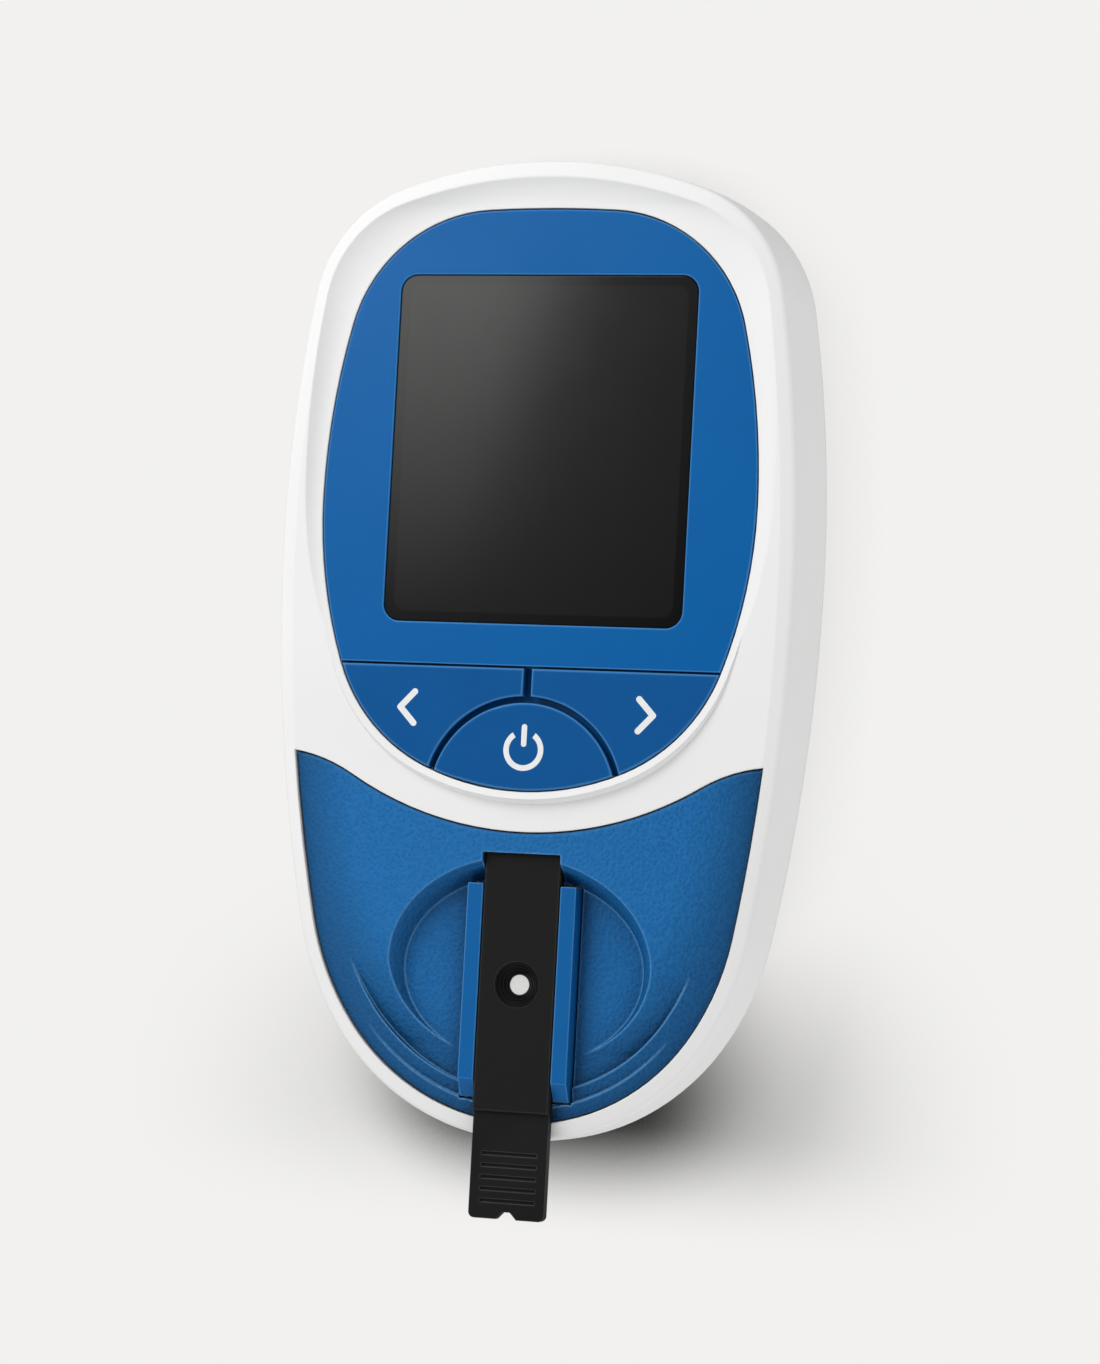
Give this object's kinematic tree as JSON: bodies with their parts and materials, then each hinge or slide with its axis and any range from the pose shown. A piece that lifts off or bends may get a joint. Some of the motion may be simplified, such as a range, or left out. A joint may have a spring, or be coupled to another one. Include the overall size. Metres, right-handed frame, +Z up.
{
  "type": "cholesterol meter",
  "caption": "Handheld reflectance lipid meter with a display window, press keys and a test strip that slides out of its slot below a dished cover.",
  "frame": {"origin": "middle of the overall length and width, test strip included, on the surface that the rubber feet of the back stand on", "axes": "+Z up, out of the display; +Y towards the display end; +X to the right of someone who reads the display"},
  "size_m": [0.072, 0.1402, 0.0248],
  "materials": {
    "white_housing": "smooth, slight gloss",
    "blue_plastic": "satin",
    "window_glass": "dark, glossy",
    "display_glass": "grey-green, polished",
    "black_plastic": "fine matte",
    "diffuser": "milky",
    "contact_rubber": "matte, pink silicone",
    "board_green": "lacquered board",
    "switch_steel": "stamped",
    "blue_grain": "fine moulded grain",
    "clear_glass": "polished",
    "strip_black": "matte",
    "pad_white": "paper membrane",
    "cell_jacket": "plain metal jacket",
    "contact_steel": "nickel plated",
    "foot_rubber": "matte",
    "film_amber": "polyimide film"
  },
  "bodies": {
    "meter": {"front_shell": "white_housing", "rear_shell": "white_housing", "display_panel": "blue_plastic", "display_window": "window_glass", "lcd_glass": "display_glass", "lcd_frame": "black_plastic", "lcd_backlight": "diffuser", "lcd_connectors": "contact_rubber", "main_board": "board_green", "control_chip": "black_plastic", "buzzer": "black_plastic", "key_switches": "switch_steel", "lower_cover": "blue_grain", "strip_guide": "blue_plastic", "optics_window": "clear_glass", "optics_block": "black_plastic", "optics_board": "board_green", "optics_leds": "clear_glass", "photodiode": "black_plastic", "battery_cells": "cell_jacket", "battery_contacts": "contact_steel", "housing_screws": "contact_steel", "board_screws": "contact_steel", "rubber_feet": "foot_rubber", "flex_cable": "film_amber"},
    "left_key": {"key_left": "blue_plastic", "plunger_left": "black_plastic"},
    "right_key": {"key_right": "blue_plastic", "plunger_right": "black_plastic"},
    "power_key": {"key_power": "blue_plastic", "plunger_power": "black_plastic"},
    "test_strip": {"strip_base": "strip_black", "strip_top": "strip_black", "reagent_pad": "pad_white"},
    "door": {"battery_door": "white_housing"}
  },
  "joints": [
    {"name": "left_key_press", "type": "slide", "parent": "meter", "child": "left_key", "axis": [0, 0, -1], "range_m": [0, 0.0006], "stiffness_N_per_m": 2500},
    {"name": "right_key_press", "type": "slide", "parent": "meter", "child": "right_key", "axis": [0, 0, -1], "range_m": [0, 0.0006], "stiffness_N_per_m": 2500},
    {"name": "power_key_press", "type": "slide", "parent": "meter", "child": "power_key", "axis": [0, 0, -1], "range_m": [0, 0.0006], "stiffness_N_per_m": 2500},
    {"name": "strip_slide", "type": "slide", "parent": "meter", "child": "test_strip", "axis": [0, -1, 0], "range_m": [0, 0.042]},
    {"name": "battery_door_tilt", "type": "hinge", "parent": "meter", "child": "door", "pos_m": [0, 0.05105, 0.0008], "axis": [1, 0, 0], "range_deg": [0, 50]}
  ]
}
